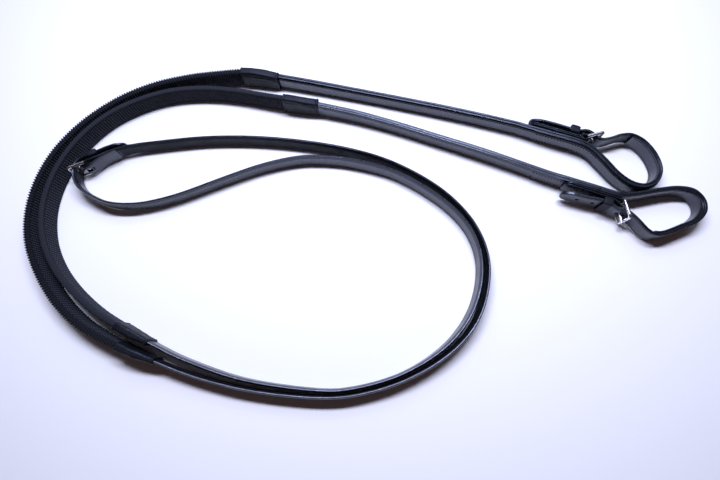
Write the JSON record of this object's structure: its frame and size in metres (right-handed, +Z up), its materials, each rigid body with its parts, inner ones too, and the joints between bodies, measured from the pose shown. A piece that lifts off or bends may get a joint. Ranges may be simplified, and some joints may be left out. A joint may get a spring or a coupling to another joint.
{
  "type": "leather reins",
  "caption": "Pair of black leather riding reins with rubber grips, buckled bit loops and a centre buckle, laid on edge in one closed loop.",
  "frame": {"origin": "on the floor below the middle of the whole outline", "axes": "+X from the centre buckle towards the bit ends, +Y across the loop towards the grips' front ends, +Z up from the floor"},
  "size_m": [0.5488, 0.2734, 0.0225],
  "materials": {
    "strap_leather": "smooth black bridle leather with creased, dyed edges",
    "cap_leather": "thin soft black leather, wrinkled",
    "grip_rubber": "matt black rubber with small moulded pimples",
    "nickel": "bright nickel plate"
  },
  "bodies": {
    "reins": {"left_hand_strap": "strap_leather", "left_grip_rubber": "grip_rubber", "left_front_cap": "cap_leather", "left_rear_cap": "cap_leather", "right_hand_strap": "strap_leather", "right_grip_rubber": "grip_rubber", "right_front_cap": "cap_leather", "right_rear_cap": "cap_leather", "centre_keeper": "strap_leather"},
    "left_bit_end": {"left_bit_strap": "strap_leather", "left_bit_lining": "strap_leather", "left_bit_chape": "strap_leather", "left_bit_keeper": "strap_leather"},
    "right_bit_end": {"right_bit_strap": "strap_leather", "right_bit_lining": "strap_leather", "right_bit_chape": "strap_leather", "right_bit_keeper": "strap_leather"},
    "left_bit_buckle": {"left_bit_frame": "nickel"},
    "left_bit_prong": {"left_bit_tongue": "nickel"},
    "right_bit_buckle": {"right_bit_frame": "nickel"},
    "right_bit_prong": {"right_bit_tongue": "nickel"},
    "centre_buckle": {"centre_frame": "nickel"},
    "centre_prong": {"centre_tongue": "nickel"}
  },
  "joints": [
    {"name": "left_bit_end_flex", "type": "hinge", "parent": "reins", "child": "left_bit_end", "pos_m": [-0.072, 0.1291, 0.0096], "axis": [0, 0, 1], "range_deg": [0, 12]},
    {"name": "right_bit_end_flex", "type": "hinge", "parent": "reins", "child": "right_bit_end", "pos_m": [-0.037, 0.1035, 0.0096], "axis": [0, 0, 1], "range_deg": [-10, 0]},
    {"name": "left_bit_frame_hinge", "type": "hinge", "parent": "left_bit_end", "child": "left_bit_buckle", "pos_m": [0.185, 0.0698, 0.0114], "axis": [0, 0, 1], "range_deg": [-5, 6]},
    {"name": "left_bit_tongue_hinge", "type": "hinge", "parent": "left_bit_buckle", "child": "left_bit_prong", "pos_m": [0.185, 0.0698, 0.0114], "axis": [0, 0, 1], "range_deg": [0, 8]},
    {"name": "right_bit_frame_hinge", "type": "hinge", "parent": "right_bit_end", "child": "right_bit_buckle", "pos_m": [0.207, 0.0133, 0.0114], "axis": [0, 0, 1], "range_deg": [-6, 5]},
    {"name": "right_bit_tongue_hinge", "type": "hinge", "parent": "right_bit_buckle", "child": "right_bit_prong", "pos_m": [0.207, 0.0133, 0.0114], "axis": [0, 0, 1], "range_deg": [-8, 0]},
    {"name": "centre_frame_hinge", "type": "hinge", "parent": "reins", "child": "centre_buckle", "pos_m": [-0.231, 0.0498, 0.0114], "axis": [0, 0, 1], "range_deg": [-6, 2]},
    {"name": "centre_tongue_hinge", "type": "hinge", "parent": "centre_buckle", "child": "centre_prong", "pos_m": [-0.231, 0.0498, 0.0114], "axis": [0, 0, 1], "range_deg": [-8, 0]}
  ]
}
